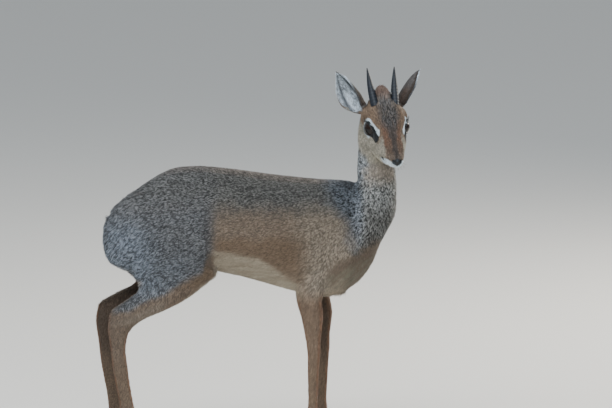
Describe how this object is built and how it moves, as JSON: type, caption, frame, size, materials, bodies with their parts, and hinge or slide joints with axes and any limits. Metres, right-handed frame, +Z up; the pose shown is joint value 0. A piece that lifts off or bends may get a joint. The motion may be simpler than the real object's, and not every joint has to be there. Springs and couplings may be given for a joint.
{
  "type": "dik-dik, standing",
  "caption": "Life-size Kirk's dik-dik standing still on four slender legs, its head with short straight horns and large ears turned to one side.",
  "frame": {"origin": "on the floor under the middle of the whole animal", "axes": "+X from the rump to the breast, +Y to the animal's left, +Z up from the floor"},
  "size_m": [0.4666, 0.152, 0.5476],
  "materials": {
    "coat": "short grizzled hair, grey-brown, tan and white",
    "ear": "thin ear with short hair, white hair inside",
    "horn": "dark slate keratin, ringed at the root, polished at the tip",
    "eye": "wet dark brown",
    "hoof": "dark worn keratin"
  },
  "bodies": {
    "root": {"ear_L": "ear", "ear_R": "ear", "eye_L": "eye", "eye_R": "eye", "fore_hoof_L_inner": "hoof", "fore_hoof_L_outer": "hoof", "fore_hoof_R_inner": "hoof", "fore_hoof_R_outer": "hoof", "fore_leg_lower_L": "coat", "fore_leg_lower_R": "coat", "fore_leg_upper_L": "coat", "fore_leg_upper_R": "coat", "head": "coat", "hind_hoof_L_inner": "hoof", "hind_hoof_L_outer": "hoof", "hind_hoof_R_inner": "hoof", "hind_hoof_R_outer": "hoof", "hind_leg_lower_L": "coat", "hind_leg_lower_R": "coat", "hind_leg_upper_L": "coat", "hind_leg_upper_R": "coat", "horn_L": "horn", "horn_R": "horn", "neck": "coat", "tail": "coat", "torso": "coat"}
  },
  "joints": []
}
